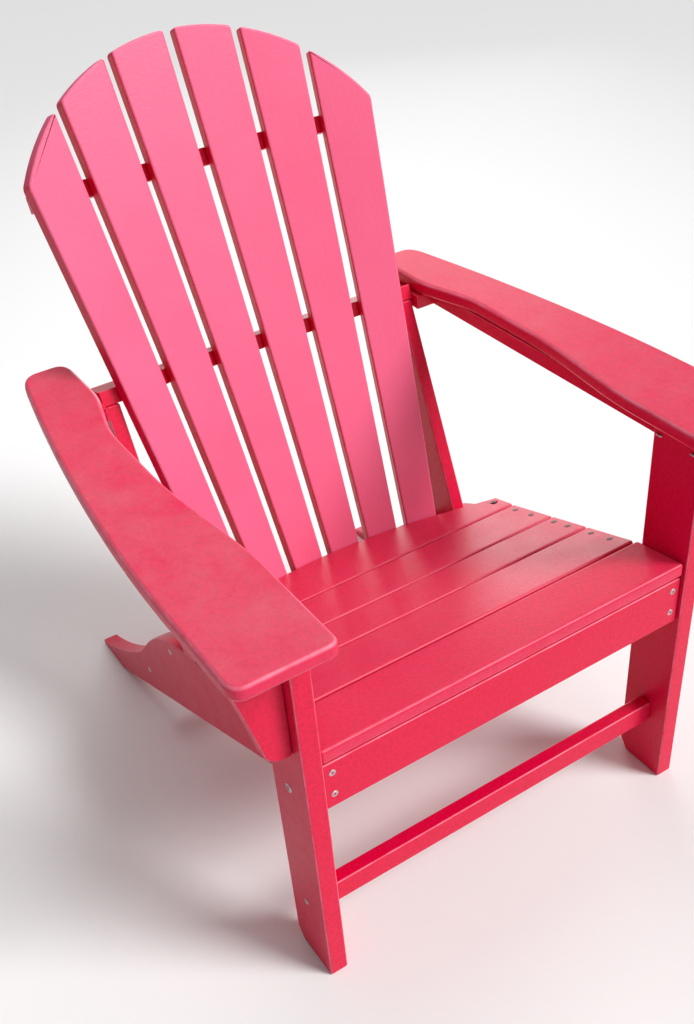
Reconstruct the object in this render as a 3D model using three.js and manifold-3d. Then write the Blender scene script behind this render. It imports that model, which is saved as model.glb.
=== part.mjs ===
// Adirondack chair in poly lumber, built from flat boards, rails and stainless screws.
// Millimetres. +X is the sitter's left, +Y the rear, +Z up. The floor is z = 0.
import * as THREE from "three";
import { mergeVertices } from "three/addons/utils/BufferGeometryUtils.js";
import Module from "manifold-3d";

const wasm = await Module();
wasm.setup();

// ---- Driving dimensions -------------------------------------------------------------------
// Depths (y) are measured from the front faces of the front legs, heights from the floor.

const fit = 0.3; // clearance between pieces that touch
const board = 20; // thickness of slats, rails and arms
const seatWidth = 530; // between the inner faces of the front legs

const leg = { thickness: 25, depth: 79, height: 556, chamferDepth: 13, chamferHeight: 18 };

const seat = {
  topAtFront: 401, // height of the sloping seat plane above the front face of the legs
  slope: THREE.MathUtils.degToRad(17.9),
  slatWidths: [88, 70, 88], // fourth, third and second slat, counted from the rear
  noseGap: 0.73, // between the front slat and the fourth slat's lower edge
  slatGap: 4,
  rearSlope: THREE.MathUtils.degToRad(15.3), // the rear slat lies a little flatter
  rearClearance: 1.2, // between the rear slat and the back
};

const frontSlat = { noseDepth: 4, rearDepth: 86, noseHeight: 388, slope: THREE.MathUtils.degToRad(8.7) };

const stringer = {
  thickness: 25,
  lowerSlope: THREE.MathUtils.degToRad(24.6),
  lowerAtFront: 302, // height of the lower edge behind the apron
  heelRear: 768, // rearmost point of the tail
};

const apron = { face: 6, bottom: 293.5, top: 369 };

const legStretcher = { front: 29, depth: 20, bottom: 93, height: 34 };

const rearStretcher = { centre: 543, bottom: 75, height: 60 };

// Edges of an arm, outwards from the inner faces of the front legs.
const arm = {
  inner: -14,
  waist: 5, // inner edge beside the sitter's elbow
  outer: 105,
  rearInner: -18,
  rearOuter: 51,
  front: -44,
  rear: 644,
};

// Board under each arm, from the front leg to an ear beside the arm rail.
const armSupport = { width: 40, earWidth: 68, earAhead: 48, earBehind: 19 };

const bracket = { face: 17, topReach: 72, bottomReach: 31, bottom: 389.5 };

const back = {
  recline: THREE.MathUtils.degToRad(22.2),
  planeDepth: 420.6, // where the reference plane of the back meets the seat plane
  hollow: 14, // how far the middle of the back lies behind that plane
  fall: 28.5, // how much further forward its edges lie
  halfWidth: 177.3, // of the whole fan at the seat
  spread: 0.1136, // half width gained per unit of height
  crownRadius: 284,
  crownCentre: 438, // height of the crown's centre along the back
  cornerRadius: 5,
  bottom: -50, // slats run this far below the seat plane
  slatWidth: 47, // at the seat
  slatTaper: 0.0405, // width gained per unit of height
};
// The left half of the fan, from the middle out; the right half mirrors it.
const fan = [
  { offset: 30.75, lean: THREE.MathUtils.degToRad(1.15) },
  { offset: 92.1, lean: THREE.MathUtils.degToRad(3.23) },
  { offset: 154, lean: THREE.MathUtils.degToRad(5.26) },
];

const upright = { thickness: 20, depth: 60, setback: 7, bottom: 160 };

const armRail = { depth: 43 }; // behind the middle slats

const upperRail = { bottom: 557, height: 22, depth: 40, reach: 228 };

const lowerRail = { top: -25, depth: 50 };

const railBite = 1.5; // how far a rail stands into the hollow before the slats are let into it

const screw = { headRadius: 4.5, headHeight: 2.4, shankRadius: 2.4, proud: 0.5 };
const bolt = { headRadius: 6, headHeight: 3, shankRadius: 3.5, proud: 0.8 };
const legBolt = { depth: 42, height: 316 }; // joins each front leg to its stringer

// ---- Values that follow -------------------------------------------------------------------

const halfSeat = seatWidth / 2;
const stringerOuter = halfSeat - fit;
const stringerInner = stringerOuter - stringer.thickness;
const stringerMiddle = stringerOuter - stringer.thickness / 2;
const armTop = leg.height + board;
const centreDepth = (arm.front + stringer.heelRear) / 2; // half way between the arm fronts and the tails
const cosSeat = Math.cos(seat.slope);
const tanSeat = Math.tan(seat.slope);

const seatHeight = (y) => seat.topAtFront - tanSeat * y;
const firstSlatFront = (frontSlat.rearDepth + seat.noseGap + board * Math.sin(seat.slope)) / cosSeat;
const seatSpan = seat.slatWidths.reduce((sum, width) => sum + width + seat.slatGap, 0);
const rearSlatFront = (firstSlatFront + seatSpan) * cosSeat;
const rearSlatHeight = (y) => seatHeight(rearSlatFront) - Math.tan(seat.rearSlope) * (y - rearSlatFront);
const frontSlatHeight = (y) =>
  frontSlat.noseHeight - Math.tan(frontSlat.slope) * (y - frontSlat.noseDepth);
const stringerLowerHeight = (y) =>
  stringer.lowerAtFront - Math.tan(stringer.lowerSlope) * (y - apron.face - board - fit);

// The back's own frame: x across, height along the recline, depth rearward and square to it.
const backUp = new THREE.Vector3(0, Math.sin(back.recline), Math.cos(back.recline));
const backRearward = new THREE.Vector3(0, Math.cos(back.recline), -Math.sin(back.recline));
const backFoot = new THREE.Vector3(0, back.planeDepth, seatHeight(back.planeDepth));
const alongBack = (z, depth) => (z - backFoot.z + backUp.y * depth) / backUp.z;

function backPoint(x, height, depth) {
  return new THREE.Vector3(x, 0, 0)
    .add(backFoot)
    .addScaledVector(backUp, height)
    .addScaledVector(backRearward, depth);
}

// The front faces of the slats follow a shallow hollow, deepest at the centre line.
function hollowDepth(x, height) {
  const share = x / (back.halfWidth + back.spread * height);
  return back.hollow - back.fall * share * share;
}

// The rear seat slat's edge follows the hollow, and beyond the slats it runs straight on.
function trimFront(x) {
  const share = Math.abs(x) / (back.halfWidth - back.spread * board);
  const fall = share > 1 ? 2 * share - 1 : share * share;
  return back.hollow - back.fall * fall - seat.rearClearance;
}

const armRailRear = back.hollow + board + armRail.depth;
const armRailCentre = (upright.setback + armRailRear) / 2;
const armRailHeight = alongBack(leg.height - board / 2, armRailCentre);

// ---- Solids -------------------------------------------------------------------------------

function toManifold(geometry) {
  const plain = geometry.clone();
  plain.deleteAttribute("normal");
  plain.deleteAttribute("uv");
  const merged = mergeVertices(plain, 1e-4);
  return new wasm.Manifold(
    new wasm.Mesh({
      numProp: 3,
      vertProperties: new Float32Array(merged.attributes.position.array),
      triVerts: new Uint32Array(merged.index.array),
    }),
  );
}

function toGeometry(solid) {
  const mesh = solid.getMesh();
  const geometry = new THREE.BufferGeometry();
  geometry.setAttribute("position", new THREE.BufferAttribute(new Float32Array(mesh.vertProperties), 3));
  geometry.setIndex(new THREE.BufferAttribute(new Uint32Array(mesh.triVerts), 1));
  geometry.computeVertexNormals();
  return geometry;
}

// Axes of the plane that an outline is drawn in, and the direction its thickness grows.
const planes = {
  side: new THREE.Matrix4().makeBasis(
    new THREE.Vector3(0, 1, 0), new THREE.Vector3(0, 0, 1), new THREE.Vector3(1, 0, 0)),
  plan: new THREE.Matrix4().makeBasis(
    new THREE.Vector3(1, 0, 0), new THREE.Vector3(0, 1, 0), new THREE.Vector3(0, 0, 1)),
  front: new THREE.Matrix4().makeBasis(
    new THREE.Vector3(1, 0, 0), new THREE.Vector3(0, 0, 1), new THREE.Vector3(0, -1, 0)),
};

function outline(points) {
  return new THREE.Shape(points.map(([a, b]) => new THREE.Vector2(a, b)));
}

function slab(shape, thickness, curveSegments = 10) {
  return new THREE.ExtrudeGeometry(shape, { depth: thickness, bevelEnabled: false, curveSegments });
}

// Mirrors a closed geometry across the centre line and turns its faces back out.
function mirrored(geometry) {
  const copy = geometry.clone().applyMatrix4(new THREE.Matrix4().makeScale(-1, 1, 1));
  const faces = copy.index ? copy.index.array : null;
  if (faces) {
    for (let i = 0; i < faces.length; i += 3) [faces[i + 1], faces[i + 2]] = [faces[i + 2], faces[i + 1]];
    return copy;
  }
  const corners = copy.attributes.position.array;
  for (let i = 0; i < corners.length; i += 9) {
    for (let k = 0; k < 3; k += 1) {
      [corners[i + 3 + k], corners[i + 6 + k]] = [corners[i + 6 + k], corners[i + 3 + k]];
    }
  }
  return copy;
}

// ---- Pieces and the holes that fasteners need ----------------------------------------------

const pieces = new Map();
const holes = [];

function addPiece(name, geometry, finish) {
  pieces.set(name, { geometry, finish });
}

function addPair(name, leftGeometry, finish) {
  addPiece(name + "_left", leftGeometry, finish);
  addPiece(name + "_right", mirrored(leftGeometry), finish);
}

// A fastener is a lathed head and shank, driven from a point on a surface along a direction.
function addFastener(name, kind, point, direction, length, through) {
  const sides = 12;
  const profile = [
    [0, -length], [kind.shankRadius, -length], [kind.shankRadius, -kind.headHeight],
    [kind.headRadius, -kind.headHeight], [kind.headRadius, -0.8], [kind.headRadius - 1.4, 0], [0, 0],
  ].map(([r, h]) => new THREE.Vector2(r, h));
  const inward = new THREE.Vector3(...direction).normalize();
  const turn = new THREE.Matrix4().makeRotationFromQuaternion(
    new THREE.Quaternion().setFromUnitVectors(new THREE.Vector3(0, -1, 0), inward));
  const seatPoint = new THREE.Vector3(...point).addScaledVector(inward, -kind.proud);
  const place = new THREE.Matrix4().setPosition(seatPoint).multiply(turn);
  addPiece(name, new THREE.LatheGeometry(profile, sides).applyMatrix4(place), "steel");

  const reach = 30; // clears the surface round a sunk head
  const shankHole = new THREE.CylinderGeometry(
    kind.shankRadius + fit, kind.shankRadius + fit, length + fit + reach, sides);
  shankHole.translate(0, (reach - length - fit) / 2, 0).applyMatrix4(place);
  const headHole = new THREE.CylinderGeometry(
    kind.headRadius + fit, kind.headRadius + fit, kind.headHeight + fit + reach, sides);
  headHole.translate(0, (reach - kind.headHeight - fit) / 2, 0).applyMatrix4(place);
  holes.push({ cutter: toManifold(shankHole).add(toManifold(headHole)), through });
}

const sides = [["left", 1], ["right", -1]];

// ---- Front legs ----------------------------------------------------------------------------

function makeLegs() {
  const profile = outline([
    [0, 0], [leg.depth - leg.chamferDepth, 0], [leg.depth, leg.chamferHeight],
    [leg.depth, leg.height], [0, leg.height],
  ]);
  const legGeometry = slab(profile, leg.thickness)
    .applyMatrix4(planes.side)
    .translate(halfSeat, 0, 0);
  addPair("front_leg", legGeometry, "lumber");
}

// ---- Side stringers: seat rail and rear leg in one board --------------------------------------

function makeStringers() {
  const front = apron.face + board + fit;
  const bend = frontSlat.rearDepth + fit;
  const drop = board / Math.cos(frontSlat.slope) + fit;
  const seatDrop = board / cosSeat + fit;
  const rearDrop = board / Math.cos(seat.rearSlope) + fit;
  const stringerSeatEnd = back.planeDepth - 25;
  const heelFront = front + stringer.lowerAtFront / Math.tan(stringer.lowerSlope);
  const tip = stringer.heelRear;
  const profile = new THREE.Shape();
  profile.moveTo(front, stringer.lowerAtFront);
  profile.lineTo(heelFront, 0);
  profile.lineTo(tip - 8, 0);
  profile.lineTo(tip, 5);
  profile.bezierCurveTo(tip - 43, 20, tip - 113, 58, tip - 183, 111);
  profile.bezierCurveTo(tip - 228, 145, tip - 253, 203, tip - 338, 242);
  profile.lineTo(stringerSeatEnd, rearSlatHeight(stringerSeatEnd) - rearDrop);
  profile.lineTo(rearSlatFront, seatHeight(rearSlatFront) - seatDrop);
  profile.lineTo(bend, seatHeight(bend) - seatDrop);
  profile.lineTo(bend, frontSlatHeight(bend) - drop);
  profile.lineTo(front, frontSlatHeight(front) - drop);
  const stringerGeometry = slab(profile, stringer.thickness, 12)
    .applyMatrix4(planes.side)
    .translate(stringerInner, 0, 0);
  addPair("side_stringer", stringerGeometry, "lumber");
}

// ---- Seat ----------------------------------------------------------------------------------

// Lays a plan drawn along a slope onto it, top face up, starting at a depth and height.
function layOnSlope(geometry, slope, startDepth, startHeight) {
  return geometry
    .translate(0, 0, -board)
    .applyMatrix4(new THREE.Matrix4().makeRotationX(-slope))
    .translate(0, startDepth, startHeight);
}

function seatSlatEdges() {
  const edges = [];
  let front = firstSlatFront;
  for (const width of seat.slatWidths) {
    edges.push([front, front + width]);
    front += width + seat.slatGap;
  }
  return edges;
}

function makeSeat() {
  seatSlatEdges().forEach(([front, rear], i) => {
    const plan = outline([
      [-stringerOuter, front], [stringerOuter, front], [stringerOuter, rear], [-stringerOuter, rear],
    ]);
    const geometry = layOnSlope(slab(plan, board), seat.slope, 0, seat.topAtFront);
    addPiece("seat_slat_" + (4 - i), geometry, "lumber");
  });

  // The rear slat runs on past the back and is trimmed to its hollow.
  const uncut = (back.planeDepth + back.hollow + board - rearSlatFront) / cosSeat;
  const rearPlan = outline([
    [-stringerOuter, 0], [stringerOuter, 0], [stringerOuter, uncut], [-stringerOuter, uncut],
  ]);
  const rearBlank = layOnSlope(slab(rearPlan, board), seat.rearSlope, rearSlatFront, seatHeight(rearSlatFront));
  const trim = hollowSlab(trimFront, halfSeat, 5 * board, 6 * board, -3 * board);
  addPiece("seat_slat_1", toGeometry(toManifold(rearBlank).subtract(toManifold(trim))), "lumber");

  const slope = Math.tan(frontSlat.slope);
  const length = frontSlat.rearDepth - frontSlat.noseDepth;
  const thickness = board / Math.cos(frontSlat.slope);
  const section = outline([
    [frontSlat.noseDepth, frontSlat.noseHeight - thickness],
    [frontSlat.rearDepth, frontSlat.noseHeight - slope * length - thickness],
    [frontSlat.rearDepth, frontSlat.noseHeight - slope * length],
    [frontSlat.noseDepth, frontSlat.noseHeight],
  ]);
  addPiece("seat_slat_5",
    slab(section, 2 * stringerOuter).applyMatrix4(planes.side).translate(-stringerOuter, 0, 0), "lumber");
}

function makeApron() {
  const top = frontSlatHeight(apron.face + board) - board / Math.cos(frontSlat.slope) - fit;
  const geometry = new THREE.BoxGeometry(2 * stringerOuter, board, Math.min(apron.top, top) - apron.bottom);
  geometry.translate(0, apron.face + board / 2, (Math.min(apron.top, top) + apron.bottom) / 2);
  addPiece("front_apron", geometry, "lumber");
}

function makeStretchers() {
  const low = new THREE.BoxGeometry(2 * stringerOuter, legStretcher.depth, legStretcher.height);
  low.translate(0, legStretcher.front + legStretcher.depth / 2, legStretcher.bottom + legStretcher.height / 2);
  addPiece("leg_stretcher", low, "lumber");
  const rear = new THREE.BoxGeometry(2 * (stringerInner - fit), board, rearStretcher.height);
  rear.translate(0, rearStretcher.centre, rearStretcher.bottom + rearStretcher.height / 2);
  addPiece("rear_stretcher", rear, "lumber");
}

// ---- Arms and their brackets -----------------------------------------------------------------

function makeArms() {
  const { front, rear } = arm;
  const [inner, waist, outer, rearInner, rearOuter] =
    [arm.inner, arm.waist, arm.outer, arm.rearInner, arm.rearOuter].map((offset) => halfSeat + offset);
  const plan = new THREE.Shape();
  plan.moveTo(inner + 14, front);
  plan.lineTo(outer - 20, front);
  plan.quadraticCurveTo(outer, front, outer, front + 22);
  plan.lineTo(outer, front + 144);
  plan.bezierCurveTo(outer, front + 304, rearOuter + 29, rear - 190, rearOuter, rear - 35);
  plan.quadraticCurveTo(rearOuter - 5, rear, rearOuter - 26, rear);
  plan.lineTo(rearInner + 20, rear);
  plan.quadraticCurveTo(rearInner, rear, rearInner, rear - 28);
  plan.lineTo(rearInner, rear - 95);
  plan.bezierCurveTo(rearInner, rear - 135, waist, rear - 170, waist, rear - 220);
  plan.lineTo(waist, front + 384);
  plan.bezierCurveTo(waist, front + 284, inner + 2, front + 234, inner, front + 154);
  plan.lineTo(inner, front + 14);
  plan.quadraticCurveTo(inner, front, inner + 14, front);
  const armGeometry = slab(plan, board - fit, 16).translate(0, 0, leg.height + fit);
  addPair("arm", armGeometry, "lumber");
}

// A board lies under each arm, flush with its waist; behind, an ear reaches in to the arm rail.
function makeArmSupports() {
  const start = leg.depth + fit;
  const middle = backPoint(0, armRailHeight, armRailCentre).y;
  const innerEdge = halfSeat + arm.waist;
  const outerEdge = innerEdge + armSupport.width;
  const earInner = outerEdge - armSupport.earWidth;
  const plan = outline([
    [innerEdge, start], [outerEdge, start], [outerEdge, middle + armSupport.earBehind],
    [earInner, middle + armSupport.earBehind], [earInner, middle - armSupport.earAhead],
    [innerEdge, middle - armSupport.earAhead],
  ]);
  addPair("arm_support", slab(plan, board).translate(0, 0, leg.height - board), "lumber");
}

function makeBrackets() {
  const legOuter = halfSeat + leg.thickness + fit;
  const top = leg.height;
  const { topReach, bottomReach, bottom, face } = bracket;
  const shape = new THREE.Shape();
  shape.moveTo(legOuter, bottom);
  shape.lineTo(legOuter + bottomReach - 23, bottom);
  shape.quadraticCurveTo(legOuter + bottomReach - 5, bottom + 2, legOuter + bottomReach + 1, bottom + 16);
  shape.quadraticCurveTo(legOuter + bottomReach + 18, bottom + 95, legOuter + topReach, top);
  shape.lineTo(legOuter, top);
  const bracketGeometry = slab(shape, board, 12)
    .applyMatrix4(planes.front)
    .translate(0, face + board, 0);
  addPair("arm_bracket", bracketGeometry, "lumber");
}

// ---- Back ----------------------------------------------------------------------------------

// A slat is drawn as seen square to the back, then turned to face the sitter within the hollow.
function backSlatGeometry(axis, thickness) {
  const { crownRadius, crownCentre, cornerRadius, bottom } = back;
  const tilt = Math.tan(axis.lean);
  const grow = (side) => tilt + (side * back.slatTaper) / 2;
  const foot = (side) => axis.offset + (side * back.slatWidth) / 2;
  const edge = (side, height) => foot(side) + grow(side) * height;

  // Height where an edge meets the crown: the upper root of a quadratic.
  const crownHeight = (side) => {
    const a = 1 + grow(side) ** 2;
    const b = foot(side) * grow(side) - crownCentre;
    const c = foot(side) ** 2 + crownCentre ** 2 - crownRadius ** 2;
    return (-b + Math.sqrt(b * b - a * c)) / a;
  };
  const [inner, outer] = [-1, 1].map((side) => {
    const height = crownHeight(side);
    const angle = Math.atan2(height - crownCentre, edge(side, height)) + (side * cornerRadius) / crownRadius;
    return { height, angle, x: edge(side, height), below: height - cornerRadius };
  });
  const shape = new THREE.Shape();
  shape.moveTo(edge(-1, bottom), bottom);
  shape.lineTo(edge(1, bottom), bottom);
  shape.lineTo(edge(1, outer.below), outer.below);
  shape.quadraticCurveTo(outer.x, outer.height,
    crownRadius * Math.cos(outer.angle), crownCentre + crownRadius * Math.sin(outer.angle));
  shape.absarc(0, crownCentre, crownRadius, outer.angle, inner.angle, false);
  shape.quadraticCurveTo(inner.x, inner.height, edge(-1, inner.below), inner.below);

  const innerDepth = hollowDepth(edge(-1, armRailHeight), armRailHeight);
  const outerDepth = hollowDepth(edge(1, armRailHeight), armRailHeight);
  const turn = (innerDepth - outerDepth) / (edge(1, armRailHeight) - edge(-1, armRailHeight));
  const across = new THREE.Vector3(1, 0, 0).addScaledVector(backRearward, -turn);
  const along = backUp.clone().addScaledVector(backRearward, turn * tilt);
  const facing = new THREE.Vector3().crossVectors(across, along).normalize();
  const origin = backPoint(0, 0, (innerDepth + outerDepth) / 2 + turn * axis.offset)
    .addScaledVector(facing, -thickness);
  const place = new THREE.Matrix4().makeBasis(across, along, facing).setPosition(origin);
  return slab(shape, thickness, 12).applyMatrix4(place);
}

function makeBackSlats() {
  fan.forEach((axis, i) => {
    const geometry = backSlatGeometry(axis, board);
    addPiece("back_slat_" + (4 + i), geometry, "lumber");
    addPiece("back_slat_" + (3 - i), mirrored(geometry), "lumber");
  });
}

// A board square to the back, standing up from a height, whose front edge follows a curve.
function hollowSlab(frontDepth, reach, rearDepth, thickness, height) {
  const steps = 24;
  const points = [];
  for (let i = 0; i <= steps; i += 1) {
    const x = -reach + (2 * reach * i) / steps;
    points.push([x, frontDepth(x)]);
  }
  points.push([reach, rearDepth], [-reach, rearDepth]);
  const place = new THREE.Matrix4().makeBasis(new THREE.Vector3(1, 0, 0), backRearward, backUp);
  place.setPosition(backPoint(0, height, 0));
  return slab(outline(points), thickness).applyMatrix4(place);
}

// The slats are let into what stands behind them, so that each one beds flat on it.
function letSlatsInto(geometry) {
  let solid = toManifold(geometry);
  for (const axis of fan) {
    const seatCut = backSlatGeometry(axis, board + fit);
    solid = solid.subtract(toManifold(seatCut)).subtract(toManifold(mirrored(seatCut)));
  }
  return toGeometry(solid);
}

function addRail(name, reach, rearDepth, thickness, height) {
  const front = (x) => Math.max(hollowDepth(x, height) + board - railBite, upright.setback);
  addPiece(name, letSlatsInto(hollowSlab(front, reach, rearDepth, thickness, height)), "lumber");
}

function makeRails() {
  const middleRear = back.hollow + board;
  const lowerReach = stringerInner - upright.thickness - 2 * fit;
  const armReach = halfSeat + arm.waist + armSupport.width - armSupport.earWidth - fit;
  addRail("upper_back_rail", upperRail.reach, middleRear + upperRail.depth, upperRail.height, upperRail.bottom);
  addRail("arm_rail", armReach, armRailRear, board, armRailHeight - board / 2);
  addRail("lower_back_rail", lowerReach, middleRear + lowerRail.depth, board, lowerRail.top - board);
}

function makeUprights() {
  const rear = upright.setback + upright.depth;
  const top = armRailHeight - board / 2 - fit;
  const corner = (height, depth) => {
    const point = backPoint(0, height, depth);
    return [point.y, point.z];
  };
  const profile = outline([
    corner(alongBack(upright.bottom, upright.setback), upright.setback),
    corner(alongBack(upright.bottom, rear), rear),
    corner(top, rear),
    corner(top, upright.setback),
  ]);
  const uprightGeometry = slab(profile, upright.thickness)
    .applyMatrix4(planes.side)
    .translate(stringerInner - fit - upright.thickness, 0, 0);
  addPair("rear_upright", letSlatsInto(uprightGeometry), "lumber");
}

// ---- Fasteners -----------------------------------------------------------------------------

function makeFasteners() {
  const legOuter = halfSeat + leg.thickness;
  const apronScrewLength = legBolt.depth - bolt.shankRadius - apron.face - 2; // stops short of the bolt
  const edges = seatSlatEdges();
  const rearScrewShare = 0.62; // of the rear slat's depth over the stringer
  const seatNormal = [0, Math.sin(seat.slope), Math.cos(seat.slope)];
  const onSeat = (x, along) => [x, along * cosSeat, seat.topAtFront - along * Math.sin(seat.slope)];

  for (const [side, sign] of sides) {
    addFastener("leg_bolt_" + side, bolt, [sign * legOuter, legBolt.depth, legBolt.height], [-sign, 0, 0],
      leg.thickness + stringer.thickness - 4, ["front_leg_" + side, "side_stringer_" + side]);
    addFastener("stretcher_screw_" + side, screw, [sign * legOuter, 42, 107], [-sign, 0, 0],
      leg.thickness + 30, ["front_leg_" + side, "leg_stretcher"]);
    addFastener("rear_stretcher_screw_" + side, screw,
      [sign * stringerOuter, rearStretcher.centre, rearStretcher.bottom + rearStretcher.height / 2],
      [-sign, 0, 0], stringer.thickness + 28, ["side_stringer_" + side, "rear_stretcher"]);
    const railEnd = backPoint(sign * stringerOuter, lowerRail.top - board / 2, upright.setback + 15);
    addFastener("back_rail_screw_" + side, screw, railEnd.toArray(), [-sign, 0, 0],
      stringer.thickness + upright.thickness + 25,
      ["side_stringer_" + side, "rear_upright_" + side, "lower_back_rail"]);
    for (const [end, y] of [["front", 14], ["rear", 69]]) {
      addFastener("arm_screw_" + side + "_" + end, screw, [sign * halfSeat, y, leg.height - 16],
        [sign * 0.5, 0, 0.866], 26, ["front_leg_" + side, "arm_" + side]);
    }
    for (const [end, z] of [["upper", 348], ["lower", 314]]) {
      addFastener("apron_screw_" + side + "_" + end, screw, [sign * stringerMiddle, apron.face, z],
        [0, 1, 0], apronScrewLength, ["front_apron", "side_stringer_" + side]);
    }
    const down = seatNormal.map((v) => -v);
    edges.forEach(([front, rear], i) => {
      const slat = "seat_slat_" + (4 - i);
      for (const [end, share] of [["front", 0.36], ["rear", 0.78]]) {
        addFastener("seat_screw_" + (4 - i) + "_" + side + "_" + end, screw,
          onSeat(sign * stringerMiddle, front + share * (rear - front)), down, board + 20,
          [slat, "side_stringer_" + side]);
      }
    });
    const slatRear = backPoint(0, 0, trimFront(stringerMiddle)).y;
    const rearScrewDepth = rearSlatFront + rearScrewShare * (slatRear - rearSlatFront);
    addFastener("seat_screw_1_" + side, screw,
      [sign * stringerMiddle, rearScrewDepth, rearSlatHeight(rearScrewDepth)],
      [0, -Math.sin(seat.rearSlope), -Math.cos(seat.rearSlope)], board + 20,
      ["seat_slat_1", "side_stringer_" + side]);
  }
}

// ---- Assembly ------------------------------------------------------------------------------

const finishes = {
  lumber: new THREE.MeshStandardMaterial({ color: 0xd0163c, roughness: 0.5, metalness: 0 }),
  steel: new THREE.MeshStandardMaterial({ color: 0xb9bcc0, roughness: 0.35, metalness: 1 }),
};

makeLegs();
makeStringers();
makeSeat();
makeApron();
makeStretchers();
makeArms();
makeArmSupports();
makeBrackets();
makeBackSlats();
makeRails();
makeUprights();
makeFasteners();

const chair = new THREE.Group();
chair.position.set(0, -centreDepth, 0);
for (const [name, { geometry, finish }] of pieces) {
  let solid = toManifold(geometry);
  for (const { cutter, through } of holes) {
    if (through.includes(name)) solid = solid.subtract(cutter);
  }
  const mesh = new THREE.Mesh(toGeometry(solid), finishes[finish].clone());
  mesh.name = name;
  chair.add(mesh);
}

export default chair;
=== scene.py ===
# Adirondack chair in crimson poly lumber: eased boards, countersunk screws, embossed plastic skin.
import math

import bmesh
import bpy
from mathutils import Matrix, Vector


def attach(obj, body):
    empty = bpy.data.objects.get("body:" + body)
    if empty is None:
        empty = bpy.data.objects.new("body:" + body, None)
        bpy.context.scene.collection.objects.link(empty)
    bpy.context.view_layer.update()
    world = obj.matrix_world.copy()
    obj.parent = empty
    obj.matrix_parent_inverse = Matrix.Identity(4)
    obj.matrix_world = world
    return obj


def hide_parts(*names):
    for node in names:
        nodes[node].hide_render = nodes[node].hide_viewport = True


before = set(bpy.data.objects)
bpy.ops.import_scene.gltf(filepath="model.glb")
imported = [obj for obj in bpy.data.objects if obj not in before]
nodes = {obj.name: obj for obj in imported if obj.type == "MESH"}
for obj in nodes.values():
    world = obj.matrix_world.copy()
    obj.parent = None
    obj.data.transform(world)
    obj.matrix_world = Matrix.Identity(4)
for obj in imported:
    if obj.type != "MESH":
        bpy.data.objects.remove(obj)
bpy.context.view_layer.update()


def selectOnly(piece):
    bpy.ops.object.select_all(action="DESELECT")
    piece.select_set(True)
    bpy.context.view_layer.objects.active = piece


def linkPiece(name, mesh):
    piece = bpy.data.objects.new(name, mesh)
    bpy.context.scene.collection.objects.link(piece)
    return piece


def applyModifier(piece, kind, **values):
    selectOnly(piece)
    modifier = piece.modifiers.new(kind.lower(), kind)
    for key, value in values.items():
        setattr(modifier, key, value)
    bpy.ops.object.modifier_apply(modifier=modifier.name)


def finishPiece(piece, replaced, material):
    piece.data.materials.clear()
    piece.data.materials.append(material)
    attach(piece, "root")
    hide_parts(*replaced)


def addNode(tree, kind, at, **sockets):
    node = tree.nodes.new(kind)
    node.location = at
    for name, value in sockets.items():
        node.inputs[name].default_value = value
    return node


def addGroup(name, inputs, outputs):
    group = bpy.data.node_groups.new(name, "ShaderNodeTree")
    for label, kind, value in inputs:
        socket = group.interface.new_socket(name=label, in_out="INPUT", socket_type=kind)
        if value is not None:
            socket.default_value = value
    for label, kind in outputs:
        group.interface.new_socket(name=label, in_out="OUTPUT", socket_type=kind)
    return group, group.nodes.new("NodeGroupInput"), group.nodes.new("NodeGroupOutput")


def useGroup(tree, group, at, **sockets):
    node = tree.nodes.new("ShaderNodeGroup")
    node.node_tree = group
    node.location = at
    for name, value in sockets.items():
        node.inputs[name].default_value = value
    return node


def mathNode(tree, operation, at, *values):
    node = tree.nodes.new("ShaderNodeMath")
    node.operation = operation
    node.location = at
    for index, value in enumerate(values):
        if isinstance(value, float):
            node.inputs[index].default_value = value
        else:
            tree.links.new(value, node.inputs[index])
    return node.outputs[0]


def mapRange(tree, at, value, low, high, toLow=0.0, toHigh=1.0):
    node = addNode(tree, "ShaderNodeMapRange", at)
    for name, number in (("From Min", low), ("From Max", high), ("To Min", toLow), ("To Max", toHigh)):
        node.inputs[name].default_value = number
    tree.links.new(value, node.inputs["Value"])
    return node.outputs["Result"]


def mixColour(tree, at, factor, first, second):
    # sockets 0, 6 and 7 are the factor and the two colours, and output 2 is the colour
    node = tree.nodes.new("ShaderNodeMix")
    node.data_type = "RGBA"
    node.location = at
    for socket, value in ((0, factor), (6, first), (7, second)):
        if isinstance(value, tuple):
            node.inputs[socket].default_value = value
        else:
            tree.links.new(value, node.inputs[socket])
    return node.outputs[2]


def noise(tree, at, vector, scale, detail, roughness):
    node = addNode(tree, "ShaderNodeTexNoise", at, Scale=scale, Detail=detail, Roughness=roughness)
    tree.links.new(vector, node.inputs["Vector"])
    return node.outputs["Fac"]


# The pebbled skin that a rolled plastic board gets: two sizes of pebble under a long, faint grain. The low
# spots of the coarse pebbles also give the mask for painted shade in the skin's hollows.
# Here and below, a noise is given by its scale, detail and roughness.
embossedSkin = {
    "finePebble": (620.0, 2.0, 0.6),
    "coarsePebble": (230.0, 3.0, 0.55),
    "grain": (330.0, 3.0, 0.6),
    "grainStretch": (1.0, 1.0, 0.045),
    "hollowFrom": 0.56,
    "hollowTo": 0.40,
}


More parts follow.
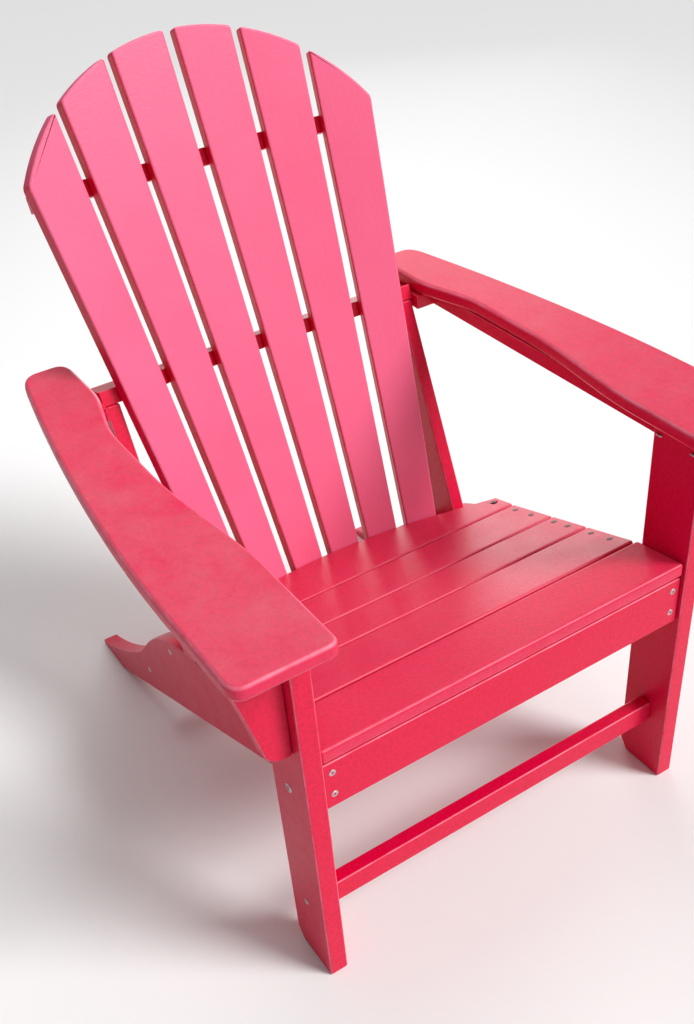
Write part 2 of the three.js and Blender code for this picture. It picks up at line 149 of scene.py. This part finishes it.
def makeEmbossedSkin():
    group, start, end = addGroup(
        "embossedSkin",
        [("Vector", "NodeSocketVector", None), ("Pebbles", "NodeSocketFloat", 1.0),
         ("Grain", "NodeSocketFloat", 0.5)],
        [("Height", "NodeSocketFloat"), ("Hollows", "NodeSocketFloat")])
    fine = noise(group, (-600, 200), start.outputs["Vector"], *embossedSkin["finePebble"])
    coarse = noise(group, (-600, 0), start.outputs["Vector"], *embossedSkin["coarsePebble"])
    stretch = addNode(group, "ShaderNodeMapping", (-800, -250))
    stretch.inputs["Scale"].default_value = embossedSkin["grainStretch"]
    group.links.new(start.outputs["Vector"], stretch.inputs["Vector"])
    grain = noise(group, (-600, -250), stretch.outputs["Vector"], *embossedSkin["grain"])
    pebbles = mathNode(group, "ADD", (-300, 100), fine, coarse)
    pebbles = mathNode(group, "MULTIPLY", (-150, 100), pebbles, start.outputs["Pebbles"])
    grain = mathNode(group, "MULTIPLY", (-150, -200), grain, start.outputs["Grain"])
    height = mathNode(group, "ADD", (50, 0), pebbles, grain)
    group.links.new(height, end.inputs["Height"])
    # painted shade: where the coarse pebbles dip, the colour is darkened
    hollowShadeMask = mapRange(group, (50, -200), coarse, embossedSkin["hollowFrom"], embossedSkin["hollowTo"])
    group.links.new(hollowShadeMask, end.inputs["Hollows"])
    return group


# Weather bleaches in broad, soft clouds, most on the faces turned up and to the front; this lightening is
# partly real bleaching and partly a painted sheen, the pale reflection of the bright sky painted onto those
# faces.
# A range is the value where an effect starts and the value where it is whole.
sunFade = {
    "upRange": (0.2, 0.8),
    "frontRange": (-0.3, -0.85),
    "clouds": (5.5, 4.0, 0.55),
    "cloudRange": (0.3, 0.7),
    "cloudStrength": (0.84, 1.0),
}


def makeFadeAndSheen():
    group, start, end = addGroup(
        "sunFade",
        [("Color", "NodeSocketColor", (0.5, 0.0, 0.05, 1.0)),
         ("Faded", "NodeSocketColor", (0.9, 0.2, 0.3, 1.0)),
         ("Amount", "NodeSocketFloat", 0.5), ("Vector", "NodeSocketVector", None)],
        [("Color", "NodeSocketColor")])
    geometry = group.nodes.new("ShaderNodeNewGeometry")
    separate = group.nodes.new("ShaderNodeSeparateXYZ")
    group.links.new(geometry.outputs["Normal"], separate.inputs[0])
    up = mapRange(group, (-500, 200), separate.outputs["Z"], *sunFade["upRange"])
    front = mapRange(group, (-500, 0), separate.outputs["Y"], *sunFade["frontRange"])
    # faces turned up and to the front, where the light falls, are lightened: bleaching together with
    # painted sheen
    litAndExposed = mathNode(group, "MAXIMUM", (-300, 100), up, front)
    clouds = noise(group, (-500, -200), start.outputs["Vector"], *sunFade["clouds"])
    clouds = mapRange(group, (-300, -200), clouds, *sunFade["cloudRange"], *sunFade["cloudStrength"])
    mask = mathNode(group, "MULTIPLY", (-100, 0), litAndExposed, clouds)
    mask = mathNode(group, "MULTIPLY", (50, 0), mask, start.outputs["Amount"])
    colour = mixColour(group, (250, 0), mask, start.outputs["Color"], start.outputs["Faded"])
    group.links.new(colour, end.inputs["Color"])
    return group


# Eased edges rub paler where hands and feet touch them: those faces lie between a board's
# broad face and its sides.
edgeWear = {
    "fromSides": (0.25, 0.6),
    "fromBroadFace": (0.95, 0.8),
    "patches": (38.0, 3.0, 0.6),
    "patchRange": (0.30, 0.62),
    "patchStrength": (0.25, 1.0),
}


def makeEdgeWear():
    group, start, end = addGroup(
        "edgeWear",
        [("Color", "NodeSocketColor", (0.5, 0.0, 0.05, 1.0)),
         ("Rubbed", "NodeSocketColor", (0.9, 0.3, 0.35, 1.0)),
         ("Amount", "NodeSocketFloat", 0.5), ("Vector", "NodeSocketVector", None),
         ("Broad", "NodeSocketVector", (0.0, 0.0, 1.0))],
        [("Color", "NodeSocketColor")])
    geometry = group.nodes.new("ShaderNodeNewGeometry")
    facing = group.nodes.new("ShaderNodeVectorMath")
    facing.operation = "DOT_PRODUCT"
    group.links.new(geometry.outputs["Normal"], facing.inputs[0])
    group.links.new(start.outputs["Broad"], facing.inputs[1])
    tilt = mathNode(group, "ABSOLUTE", (-600, 100), facing.outputs["Value"])
    rising = mapRange(group, (-450, 200), tilt, *edgeWear["fromSides"])
    falling = mapRange(group, (-450, 0), tilt, *edgeWear["fromBroadFace"])
    ridge = mathNode(group, "MULTIPLY", (-300, 100), rising, falling)
    patches = noise(group, (-700, -150), start.outputs["Vector"], *edgeWear["patches"])
    patches = mapRange(group, (-500, -150), patches, *edgeWear["patchRange"], *edgeWear["patchStrength"])
    mask = mathNode(group, "MULTIPLY", (-150, 0), ridge, patches)
    mask = mathNode(group, "MULTIPLY", (0, 0), mask, start.outputs["Amount"])
    colour = mixColour(group, (150, 0), mask, start.outputs["Color"], start.outputs["Rubbed"])
    group.links.new(colour, end.inputs["Color"])
    return group


# Fine dust and dried rain marks lie on the faces that look up.
dustFilm = {
    "upRange": (0.35, 0.95),
    "film": (14.0, 8.0, 0.75),
    "filmRange": (0.30, 0.75),
    "spots": (75.0, 2.0, 0.5),
    "spotRange": (0.64, 0.74),
    "spotStrength": (0.0, 0.5),
}


def makeDustFilm():
    group, start, end = addGroup(
        "dustFilm",
        [("Color", "NodeSocketColor", (0.5, 0.0, 0.05, 1.0)),
         ("Dust", "NodeSocketColor", (0.6, 0.5, 0.5, 1.0)),
         ("Amount", "NodeSocketFloat", 0.3), ("Vector", "NodeSocketVector", None)],
        [("Color", "NodeSocketColor"), ("Mask", "NodeSocketFloat")])
    geometry = group.nodes.new("ShaderNodeNewGeometry")
    separate = group.nodes.new("ShaderNodeSeparateXYZ")
    group.links.new(geometry.outputs["Normal"], separate.inputs[0])
    up = mapRange(group, (-500, 200), separate.outputs["Z"], *dustFilm["upRange"])
    film = noise(group, (-700, 0), start.outputs["Vector"], *dustFilm["film"])
    film = mapRange(group, (-500, 0), film, *dustFilm["filmRange"])
    spots = noise(group, (-700, -200), start.outputs["Vector"], *dustFilm["spots"])
    spots = mapRange(group, (-500, -200), spots, *dustFilm["spotRange"], *dustFilm["spotStrength"])
    both = mathNode(group, "MAXIMUM", (-300, -100), film, spots)
    mask = mathNode(group, "MULTIPLY", (-150, 0), both, up)
    mask = mathNode(group, "MULTIPLY", (0, 0), mask, start.outputs["Amount"])
    colour = mixColour(group, (150, 0), mask, start.outputs["Color"], start.outputs["Dust"])
    group.links.new(colour, end.inputs["Color"])
    group.links.new(mask, end.inputs["Mask"])
    return group


effects = {
    "skin": makeEmbossedSkin(),
    "fade": makeFadeAndSheen(),
    "wear": makeEdgeWear(),
    "dust": makeDustFilm(),
}

lumberFinish = {
    "colour": (0.70, 0.0, 0.050, 1.0),
    # the darker red laid into the pebble hollows is painted shade
    "hollowColour": (0.52, 0.0, 0.020, 1.0),
    # the pale pink of bleaching and of the painted sheen
    "fadedColour": (0.86, 0.155, 0.30, 1.0),
    "rubbedColour": (0.90, 0.25, 0.36, 1.0),
    "dustColour": (0.60, 0.28, 0.30, 1.0),
    "specular": 0.30,
    "hollowShare": 0.45,
    "pebbles": 1.0,
    "grain": 0.8,
    "roughness": 0.36,
    "dustyRoughness": 0.7,
    "wholeDust": 0.6,
    "unevenNoise": (26.0, 3.0, 0.6),
    "unevenRange": (0.3, 0.7),
    "unevenRoughness": (-0.03, 0.04),
    "bump": 0.22,
    "bumpDistance": 0.0008,
}


def makeLumber(name, grainTurn, broad, fade, dust, wear):
    # grainTurn lays the pattern's long axis along the boards, broad is the way their wide faces look
    material = bpy.data.materials.new(name)
    material.use_nodes = True
    tree = material.node_tree
    shader = tree.nodes["Principled BSDF"]
    shader.inputs["Specular IOR Level"].default_value = lumberFinish["specular"]
    coordinates = tree.nodes.new("ShaderNodeTexCoord")
    coordinates.location = (-1500, 0)
    turn = addNode(tree, "ShaderNodeMapping", (-1300, 0))
    turn.inputs["Rotation"].default_value = grainTurn
    tree.links.new(coordinates.outputs["Object"], turn.inputs["Vector"])
    place = turn.outputs["Vector"]

    skin = useGroup(tree, effects["skin"], (-1000, -300), Pebbles=lumberFinish["pebbles"],
                    Grain=lumberFinish["grain"])
    tree.links.new(place, skin.inputs["Vector"])
    # the skin's hollows are painted darker: painted shade, not a colour of the plastic
    hollowShadeAmount = mathNode(tree, "MULTIPLY", (-850, 200), skin.outputs["Hollows"], lumberFinish["hollowShare"])
    base = mixColour(tree, (-700, 200), hollowShadeAmount, lumberFinish["colour"], lumberFinish["hollowColour"])

    steps = (("fade", "Faded", "fadedColour", fade), ("wear", "Rubbed", "rubbedColour", wear),
             ("dust", "Dust", "dustColour", dust))
    for index, (effect, socket, colour, amount) in enumerate(steps):
        step = useGroup(tree, effects[effect], (-500 + 220 * index, 200), Amount=amount)
        step.inputs[socket].default_value = lumberFinish[colour]
        if effect == "wear":
            step.inputs["Broad"].default_value = broad
        tree.links.new(base, step.inputs["Color"])
        tree.links.new(place, step.inputs["Vector"])
        base = step.outputs["Color"]
    tree.links.new(base, shader.inputs["Base Color"])

    # the last step is the dust, and dusty faces are duller
    rough = mapRange(tree, (-300, -100), step.outputs["Mask"], 0.0, lumberFinish["wholeDust"],
                     lumberFinish["roughness"], lumberFinish["dustyRoughness"])
    uneven = noise(tree, (-500, -250), place, *lumberFinish["unevenNoise"])
    uneven = mapRange(tree, (-300, -250), uneven, *lumberFinish["unevenRange"],
                      *lumberFinish["unevenRoughness"])
    tree.links.new(mathNode(tree, "ADD", (-100, -150), rough, uneven), shader.inputs["Roughness"])

    bump = addNode(tree, "ShaderNodeBump", (-200, -450), Strength=lumberFinish["bump"],
                   Distance=lumberFinish["bumpDistance"])
    tree.links.new(skin.outputs["Height"], bump.inputs["Height"])
    tree.links.new(bump.outputs["Normal"], shader.inputs["Normal"])
    return material


seatSlope = math.radians(17.9)
recline = math.radians(22.2)
seatNormal = Vector((0.0, math.sin(seatSlope), math.cos(seatSlope)))
backUp = Vector((0.0, math.sin(recline), math.cos(recline)))
backFront = Vector((0.0, -math.cos(recline), math.sin(recline)))

# the pattern runs upwards until it is turned
grainUp = (0.0, 0.0, 0.0)
grainAcross = (0.0, math.pi / 2, 0.0)
grainToRear = (math.pi / 2, 0.0, 0.0)
grainReclined = (recline, 0.0, 0.0)
lumber = {
    "upright": makeLumber("lumberUpright", grainUp, (1, 0, 0), fade=0.0, dust=0.0, wear=0.6),
    "across": makeLumber("lumberAcross", grainAcross, seatNormal, fade=0.10, dust=0.08, wear=0.25),
    "front": makeLumber("lumberFront", grainAcross, (0, -1, 0), fade=0.0, dust=0.0, wear=0.6),
    "rail": makeLumber("lumberRail", grainAcross, backUp, fade=0.0, dust=0.0, wear=0.2),
    "arm": makeLumber("lumberArm", grainToRear, (0, 0, 1), fade=0.14, dust=0.30, wear=0.6),
    "side": makeLumber("lumberSide", grainToRear, (1, 0, 0), fade=0.0, dust=0.10, wear=0.6),
    # the back slats' large share of this lightening is mostly painted sheen
    "back": makeLumber("lumberBack", grainReclined, backFront, fade=0.80, dust=0.05, wear=0.5),
}

steelFinish = {
    "scratches": (1400.0, 4.0, 0.7),
    "scratchRange": (0.3, 0.7),
    "roughness": (0.26, 0.48),
    "stains": (260.0, 2.0, 0.5),
    "stainRange": (0.35, 0.65),
    "bump": 0.25,
    "bumpDistance": 0.0002,
    "clean": (0.62, 0.62, 0.63, 1.0),
    "stained": (0.42, 0.40, 0.39, 1.0),
    # near-black steel for the seat screws: painted shade of their countersinks, which also dims the
    # reflection of the sheen light in them
    "dulledClean": (0.10, 0.07, 0.07, 1.0),
    "dulledStained": (0.05, 0.03, 0.03, 1.0),
}


def makeSteel(name, clean, stained):
    material = bpy.data.materials.new(name)
    material.use_nodes = True
    tree = material.node_tree
    shader = tree.nodes["Principled BSDF"]
    shader.inputs["Metallic"].default_value = 1.0
    coordinates = tree.nodes.new("ShaderNodeTexCoord")
    scratches = noise(tree, (-700, 0), coordinates.outputs["Object"], *steelFinish["scratches"])
    stains = noise(tree, (-700, -250), coordinates.outputs["Object"], *steelFinish["stains"])
    tone = mapRange(tree, (-450, 100), stains, *steelFinish["stainRange"])
    tree.links.new(mixColour(tree, (-250, 100), tone, clean, stained), shader.inputs["Base Color"])
    rough = mapRange(tree, (-450, -100), scratches, *steelFinish["scratchRange"], *steelFinish["roughness"])
    tree.links.new(rough, shader.inputs["Roughness"])
    bump = addNode(tree, "ShaderNodeBump", (-250, -250), Strength=steelFinish["bump"],
                   Distance=steelFinish["bumpDistance"])
    tree.links.new(scratches, bump.inputs["Height"])
    tree.links.new(bump.outputs["Normal"], shader.inputs["Normal"])
    return material


steel = makeSteel("stainlessScrew", steelFinish["clean"], steelFinish["stained"])
# the seat screws' near-black steel is painted shade
shadedSeatSteel = makeSteel("dulledScrew", steelFinish["dulledClean"], steelFinish["dulledStained"])
print("finishes made")


# distances in metres, angles in degrees
sawing = {
    "weld": 0.00002,
    "flatAngle": 0.3,
    "faceAligned": 0.999,
    "faceDepth": 0.0002,
}


def mergedCopy(node, name):
    # the node's mesh is loose triangles, so the copy is merged and its flat faces joined
    piece = linkPiece(name, nodes[node].data.copy())
    selectOnly(piece)
    bpy.ops.object.mode_set(mode="EDIT")
    bpy.ops.mesh.select_all(action="SELECT")
    bpy.ops.mesh.remove_doubles(threshold=sawing["weld"])
    bpy.ops.mesh.dissolve_limited(angle_limit=math.radians(sawing["flatAngle"]))
    bpy.ops.object.mode_set(mode="OBJECT")
    return piece


def boundaryLoops(shape):
    # the closed runs of boundary edges, as lists of vertices
    edges = [e for e in shape.edges if e.is_boundary]
    loops = []
    while edges:
        edge = edges.pop(0)
        run = [edge.verts[0], edge.verts[1]]
        while True:
            following = next((e for e in run[-1].link_edges if e in edges), None)
            if following is None:
                break
            edges.remove(following)
            run.append(following.other_vert(run[-1]))
        loops.append(run[:-1] if run[0] == run[-1] else run)
    return loops


def runLength(run):
    return sum((a.co - b.co).length for a, b in zip(run, run[1:]))


def sawnBlank(node, name, faceNormal):
    # the board's outline is taken from one flat face, without screw holes, and extruded to the far side
    piece = mergedCopy(node, name)
    normal = Vector(faceNormal).normalized()
    depths = [v.co.dot(normal) for v in piece.data.vertices]
    top, thickness = max(depths), max(depths) - min(depths)
    shape = bmesh.new()
    shape.from_mesh(piece.data)
    others = [f for f in shape.faces
              if f.normal.dot(normal) < sawing["faceAligned"]
              or abs(f.calc_center_median().dot(normal) - top) > sawing["faceDepth"]]
    bmesh.ops.delete(shape, geom=others, context="FACES")
    corners = [v.co.copy() for v in max(boundaryLoops(shape), key=runLength)]
    shape.clear()
    face = shape.faces.new([shape.verts.new(c) for c in corners])
    face.normal_update()
    if face.normal.dot(normal) < 0:
        face.normal_flip()
    shape.to_mesh(piece.data)
    shape.free()
    selectOnly(piece)
    bpy.ops.object.mode_set(mode="EDIT")
    bpy.ops.mesh.select_all(action="SELECT")
    bpy.ops.mesh.extrude_region_move(TRANSFORM_OT_translate={"value": -thickness * normal})
    bpy.ops.mesh.select_all(action="SELECT")
    bpy.ops.mesh.normals_make_consistent(inside=False)
    bpy.ops.object.mode_set(mode="OBJECT")
    return piece


easing = {
    "segments": 4,
    "sawnFrom": 28,  # edges that turn by more than this are eased
    "asCutFrom": 35,
    "smoothAngle": 30,
    "normalWeight": 80,
}


def easeEdges(piece, radius, turnsFrom):
    applyModifier(piece, "BEVEL", width=radius, segments=easing["segments"], limit_method="ANGLE",
                  angle_limit=math.radians(turnsFrom), use_clamp_overlap=False, miter_outer="MITER_ARC")
    selectOnly(piece)
    bpy.ops.object.shade_smooth_by_angle(angle=math.radians(easing["smoothAngle"]))
    applyModifier(piece, "WEIGHTED_NORMAL", keep_sharp=False, weight=easing["normalWeight"])


# node: the face that is sawn from, edge radius in metres, finish
boards = {
    "front_leg_left": ((1, 0, 0), 0.0028, "upright"),
    "front_leg_right": ((-1, 0, 0), 0.0028, "upright"),
    "side_stringer_left": ((1, 0, 0), 0.0028, "side"),
    "side_stringer_right": ((-1, 0, 0), 0.0028, "side"),
    "seat_slat_2": (seatNormal, 0.0028, "across"),
    "seat_slat_3": (seatNormal, 0.0028, "across"),
    "seat_slat_4": (seatNormal, 0.0028, "across"),
    "seat_slat_5": ((1, 0, 0), 0.0045, "across"),
    "front_apron": ((0, -1, 0), 0.0028, "front"),
    "leg_stretcher": ((0, -1, 0), 0.0028, "front"),
    "rear_stretcher": ((0, 1, 0), 0.0028, "front"),
    "arm_left": ((0, 0, 1), 0.0060, "arm"),
    "arm_right": ((0, 0, 1), 0.0060, "arm"),
    "arm_support_left": ((0, 0, -1), 0.0012, "side"),
    "arm_support_right": ((0, 0, -1), 0.0012, "side"),
    "arm_bracket_left": ((0, -1, 0), 0.0030, "front"),
    "arm_bracket_right": ((0, -1, 0), 0.0030, "front"),
    "rear_upright_left": ((1, 0, 0), 0.0028, "upright"),
    "rear_upright_right": ((-1, 0, 0), 0.0028, "upright"),
}


def pieceName(node):
    words = node.split("_")
    return words[0] + "".join(word.capitalize() for word in words[1:])


for node, (faceNormal, radius, finish) in boards.items():
    board = sawnBlank(node, pieceName(node), faceNormal)
    easeEdges(board, radius, easing["sawnFrom"])
    finishPiece(board, [node], lumber[finish])
print("boards sawn and eased:", len(boards))

# These are eased as they are: the rear seat slat keeps its slanted rear edge and its screw holes,
# the rails the seats that the back slats are let into, and the back slats their crown cuts.
asCut = {
    "seat_slat_1": (0.0020, "across"),
    "upper_back_rail": (0.0012, "rail"),
    "arm_rail": (0.0012, "rail"),
    "lower_back_rail": (0.0012, "rail"),
    **{"back_slat_%d" % number: (0.0030, "back") for number in range(1, 7)},
}
for node, (radius, finish) in asCut.items():
    piece = mergedCopy(node, pieceName(node))
    easeEdges(piece, radius, easing["asCutFrom"])
    finishPiece(piece, [node], lumber[finish])
print("boards eased as cut:", len(asCut))


screwHead = {"radius": 0.0045, "height": 0.0018, "recess": 0.0019, "recessDepth": 0.0012, "sides": 28}
boltHead = {"radius": 0.0060, "height": 0.0026, "recess": 0.0030, "recessDepth": 0.0016, "sides": 32}
turning = {
    "rimShare": 0.35,
    "rimSegments": 3,
    "rimProfile": 0.5,
    "recessSides": 6,
    "smoothAngle": 40,
    "ringDepth": 0.0001,
    "armScrewLean": (0.5, -0.866),  # inwards and down
}


def turnedHead(name, settings):
    # a round head with an eased rim and a drive recess, its top at the origin
    bpy.ops.object.select_all(action="DESELECT")
    bpy.ops.mesh.primitive_cylinder_add(vertices=settings["sides"], radius=settings["radius"],
                                        depth=settings["height"], location=(0, 0, -settings["height"] / 2))
    head = bpy.context.active_object
    head.name = name
    bpy.ops.object.transform_apply(location=True, rotation=True, scale=True)
    shape = bmesh.new()
    shape.from_mesh(head.data)
    top = max(shape.faces, key=lambda f: f.normal.z + f.calc_center_median().z)
    rim = list(top.edges)
    bmesh.ops.bevel(shape, geom=rim, offset=settings["height"] * turning["rimShare"],
                    segments=turning["rimSegments"], profile=turning["rimProfile"], affect="EDGES")
    shape.to_mesh(head.data)
    shape.free()
    bpy.ops.object.select_all(action="DESELECT")
    bpy.ops.mesh.primitive_cylinder_add(vertices=turning["recessSides"], radius=settings["recess"],
                                        depth=2 * settings["recessDepth"], location=(0, 0, 0))
    drive = bpy.context.active_object
    applyModifier(head, "BOOLEAN", operation="DIFFERENCE", object=drive, solver="EXACT")
    bpy.data.objects.remove(drive)
    selectOnly(head)
    bpy.ops.object.shade_smooth_by_angle(angle=math.radians(turning["smoothAngle"]))
    return head


def placedHead(name, pattern, centre, outward):
    head = linkPiece(name, pattern.data.copy())
    turn = Vector((0, 0, 1)).rotation_difference(outward).to_matrix().to_4x4()
    head.data.transform(Matrix.Translation(centre) @ turn)
    return head


def outwardOf(node):
    # the way the fastener's head looks
    side = 1 if "_left" in node else -1
    if node.startswith("apron_screw"):
        return Vector((0, -1, 0))
    if node.startswith("arm_screw"):
        inwards, down = turning["armScrewLean"]
        return Vector((-side * inwards, 0, down)).normalized()
    if node.startswith("seat_screw"):
        return seatNormal
    return Vector((side, 0, 0))


def headCentre(node, outward):
    # the middle of the fastener's outermost ring of points
    points = [v.co for v in nodes[node].data.vertices]
    far = max(p.dot(outward) for p in points)
    ring = [p for p in points if far - p.dot(outward) < turning["ringDepth"]]
    return sum(ring, Vector()) / len(ring)


screwPattern = turnedHead("screwPattern", screwHead)
boltPattern = turnedHead("boltPattern", boltHead)
fasteners = [node for node in nodes if "screw" in node or "bolt" in node]
for node in fasteners:
    outward = outwardOf(node)
    pattern = boltPattern if "bolt" in node else screwPattern
    head = placedHead(pieceName(node), pattern, headCentre(node, outward), outward)
    # seat screw heads take the near-black steel: painted shade of their countersinks
    finishPiece(head, [node], shadedSeatSteel if node.startswith("seat_screw") else steel)
bpy.data.objects.remove(screwPattern)
bpy.data.objects.remove(boltPattern)
print("fasteners turned:", len(fasteners))


studio = {
    "floorSize": 14.0,
    "floorColour": (0.84, 0.84, 0.84, 1.0),
    "floorRoughness": 0.9,
    "skyColour": (1.0, 1.0, 1.0, 1.0),
    "skyStrength": 0.22,
}


def makeFloor():
    bpy.ops.object.select_all(action="DESELECT")
    bpy.ops.mesh.primitive_plane_add(size=studio["floorSize"], location=(0, 0, 0))
    floor = bpy.context.active_object
    floor.name = "floor"
    material = bpy.data.materials.new("paleFloor")
    material.use_nodes = True
    shader = material.node_tree.nodes["Principled BSDF"]
    shader.inputs["Base Color"].default_value = studio["floorColour"]
    shader.inputs["Roughness"].default_value = studio["floorRoughness"]
    floor.data.materials.append(material)


def makeSky():
    world = bpy.data.worlds.new("softSky")
    bpy.context.scene.world = world
    world.use_nodes = True
    background = world.node_tree.nodes["Background"]
    background.inputs["Color"].default_value = studio["skyColour"]
    background.inputs["Strength"].default_value = studio["skyStrength"]


# size in metres, power in watts, spread in degrees
softboxes = {
    "topBox": {"at": (0.2, 0.9, 2.6), "aim": (0.0, 0.0, 0.4), "size": (2.2, 1.6), "power": 22.0,
               "spread": 180.0},
    "sheenBox": {"at": (2.1, 3.2, 1.0), "aim": (0.1, 0.0, 0.35), "size": (1.8, 1.4), "power": 6.0,
                 "spread": 75.0},
    "frontBox": {"at": (0.3, -3.2, 1.3), "aim": (0.0, 0.0, 0.5), "size": (2.0, 1.4), "power": 12.0,
                 "spread": 180.0},
}


def makeSoftbox(name, at, aim, size, power, spread):
    light = bpy.data.lights.new(name, "AREA")
    light.shape = "RECTANGLE"
    light.size, light.size_y = size
    light.energy = power
    light.spread = math.radians(spread)
    box = bpy.data.objects.new(name, light)
    bpy.context.scene.collection.objects.link(box)
    box.location = at
    box.visible_camera = False
    box.rotation_euler = (Vector(aim) - Vector(at)).to_track_quat("-Z", "Y").to_euler()


keySun = {"towards": (0.487, -0.575, 0.664), "strength": 3.2, "spread": 24.0}


def makeSun(towards, strength, spread):
    # a broad, distant source lights the floor evenly and leaves soft shadows
    light = bpy.data.lights.new("keySun", "SUN")
    light.energy = strength
    light.angle = math.radians(spread)
    sun = bpy.data.objects.new("keySun", light)
    bpy.context.scene.collection.objects.link(sun)
    sun.rotation_euler = Vector(towards).to_track_quat("Z", "Y").to_euler()


camera = {
    "at": (-0.6471, -1.1292, 1.3087),
    "aim": (-0.0567, -0.1367, 0.3514),
    "roll": math.radians(-4.4),
    "lens": 41.54,
    "shift": (-0.0231, 0.0831),
}


def makeCamera():
    lens = bpy.data.cameras.new("camera")
    lens.lens = camera["lens"]
    lens.shift_x, lens.shift_y = camera["shift"]
    body = bpy.data.objects.new("camera", lens)
    bpy.context.scene.collection.objects.link(body)
    look = (Vector(camera["aim"]) - Vector(camera["at"])).to_track_quat("-Z", "Y").to_matrix()
    body.matrix_world = Matrix.Translation(camera["at"]) @ (
        look @ Matrix.Rotation(camera["roll"], 3, "Z")).to_4x4()
    bpy.context.scene.camera = body


bpy.context.scene.view_settings.view_transform = "Standard"
makeFloor()
makeSky()
makeSun(**keySun)
for name, settings in softboxes.items():
    makeSoftbox(name, **settings)
makeCamera()
print("studio set")
